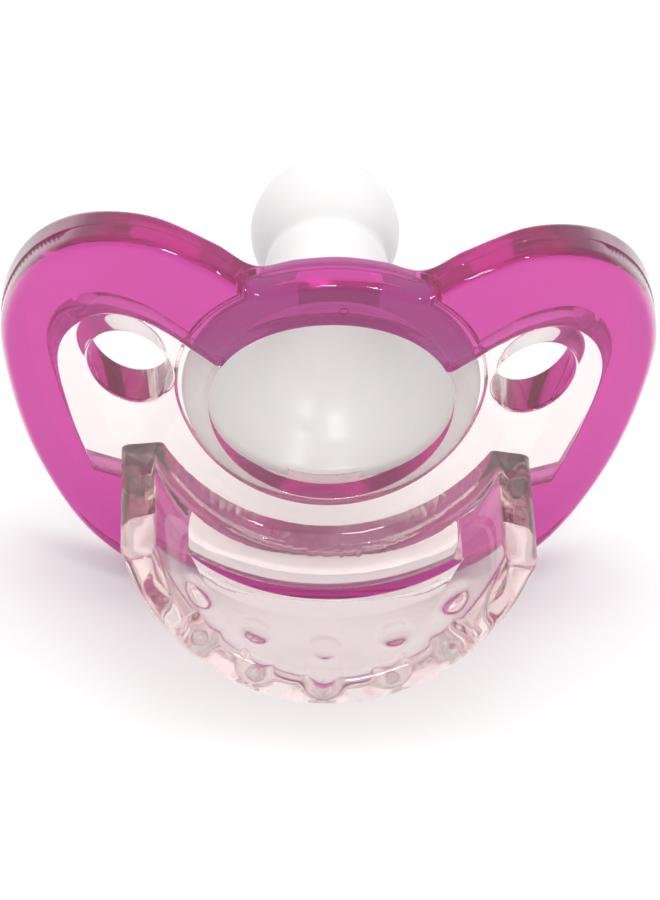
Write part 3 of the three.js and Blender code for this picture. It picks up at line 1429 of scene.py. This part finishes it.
# ---------------------------------------------------------------- studio
@dataclass
class Studio:
    """Camera, floor and light.

    Attributes:
        elevation: of the camera above the horizon, in degrees.
        azimuth: of the camera, from straight in front towards +X.
        roll: how far the picture is turned clockwise.
        distance: from the datum to the camera, in mm.
        lens: focal length on a sensor 36 mm along the picture's long side.
        aim: how far right of and above the datum the camera looks, in mm.
        sky_strengths: of the white room, low down and high up.
    """

    datum: Datum
    elevation: float = 42.086
    azimuth: float = -4.614
    roll: float = 4.585
    distance: float = 350.0
    lens: float = 180.04
    aim: Point = (-0.17, -3.14)
    sky_strengths: Point = (0.72, 0.95)

    def axes(self) -> tuple[Vector, Vector, Vector]:
        """Works out the camera's axes from its angles.

        Returns:
            The way back to the camera, its right and its up.
        """
        a, e = math.radians(self.azimuth), math.radians(self.elevation)
        back = Vector((math.sin(a) * math.cos(e), -math.cos(a) * math.cos(e), math.sin(e)))
        right = Vector((math.cos(a), math.sin(a), 0))
        up = back.cross(right)
        turn = Matrix.Rotation(math.radians(self.roll), 3, back)
        return back, turn @ right, turn @ up

    def camera(self) -> None:
        """Makes the camera."""
        back, right, up = self.axes()
        target = self.datum.centre + (right * self.aim[0] + up * self.aim[1]) * MM
        place = self.datum.centre + back * self.distance * MM
        back = (place - target).normalized()
        right = up.cross(back).normalized()
        up = back.cross(right)
        data = bpy.data.cameras.new("camera")
        data.sensor_width = 36
        data.lens = self.lens
        data.clip_start = 0.01
        obj = bpy.data.objects.new("camera", data)
        obj.matrix_world = Matrix.Translation(place) @ Matrix((right, up, back)).transposed().to_4x4()
        bpy.context.scene.collection.objects.link(obj)
        bpy.context.scene.camera = obj

    def floor(self, material: bpy.types.Material) -> None:
        """Makes the pale floor.

        Args:
            material: its finish.
        """
        bm = bmesh.new()
        bmesh.ops.create_grid(bm, x_segments=8, y_segments=8, size=3.0)
        obj = loose_object(bm, "floor")
        obj.data.materials.append(material)

    def softbox(
        self, name: str, place: tuple[float, float, float], size: Point, watts: float, glint: bool
    ) -> None:
        """An area lamp that faces the datum.

        Args:
            name: the lamp's name.
            place: where it is, in mm from the datum.
            size: its width and height, in mm.
            watts: its power.
            glint: whether it makes only highlights; if not, it only lights the scene.
        """
        data = bpy.data.lights.new(name, "AREA")
        data.shape = "RECTANGLE"
        data.size, data.size_y = (value * MM for value in size)
        data.energy = watts
        obj = bpy.data.objects.new(name, data)
        obj.location = self.datum.place(*place)
        obj.rotation_euler = (self.datum.centre - obj.location).to_track_quat("-Z", "Y").to_euler()
        obj.visible_glossy = glint
        obj.visible_diffuse = not glint
        obj.visible_transmission = False
        bpy.context.scene.collection.objects.link(obj)

    def sky(self) -> None:
        """A white room, a little darker low down."""
        world = bpy.data.worlds.new("studio")
        bpy.context.scene.world = world
        world.use_nodes = True
        book = NodeBook(world.node_tree)
        background = world.node_tree.nodes["Background"]
        way = book.add("ShaderNodeTexCoord").outputs["Generated"]
        height = book.add("ShaderNodeSeparateXYZ", {0: way}).outputs["Z"]
        low, high = self.sky_strengths
        ramp = book.add(
            "ShaderNodeMapRange",
            {"Value": height, "From Min": -0.2, "From Max": 0.7, "To Min": low, "To Max": high},
        )
        book.tree.links.new(ramp.outputs["Result"], background.inputs["Strength"])
        background.inputs["Color"].default_value = (1, 0.995, 0.99, 1)

    def build(self, finishes: Finishes) -> None:
        """Makes the whole studio.

        Args:
            finishes: every finish.
        """
        self.camera()
        self.floor(finishes.floor)
        self.sky()
        self.softbox("overhead", (20, 50, 400), (300, 240), 0.76, glint=False)
        self.softbox("front_strip", (-60, -330, 330), (110, 26), 0.6, glint=True)
        self.softbox("side_strip", (190, -250, 330), (26, 60), 0.35, glint=True)
        scene = bpy.context.scene
        scene.view_settings.view_transform = "Standard"
        scene.cycles.max_bounces = 24
        scene.cycles.diffuse_bounces = 10
        scene.cycles.glossy_bounces = 20
        scene.cycles.transmission_bounces = 24
        scene.cycles.transparent_max_bounces = 24
        scene.cycles.caustics_reflective = False
        scene.cycles.caustics_refractive = False


def main() -> None:
    """Builds the pacifier and its studio."""
    logging.basicConfig(level=logging.INFO, format="%(name)s %(message)s")
    datum = Datum()
    bench = Bench(datum)
    dish = Dish()
    finishes = Finishes.build()
    Shield(bench, dish).build(finishes)
    Grip(bench, dish).build(finishes)
    Nipple(bench).build(finishes)
    Studio(datum).build(finishes)


if __name__ == "__main__":
    main()
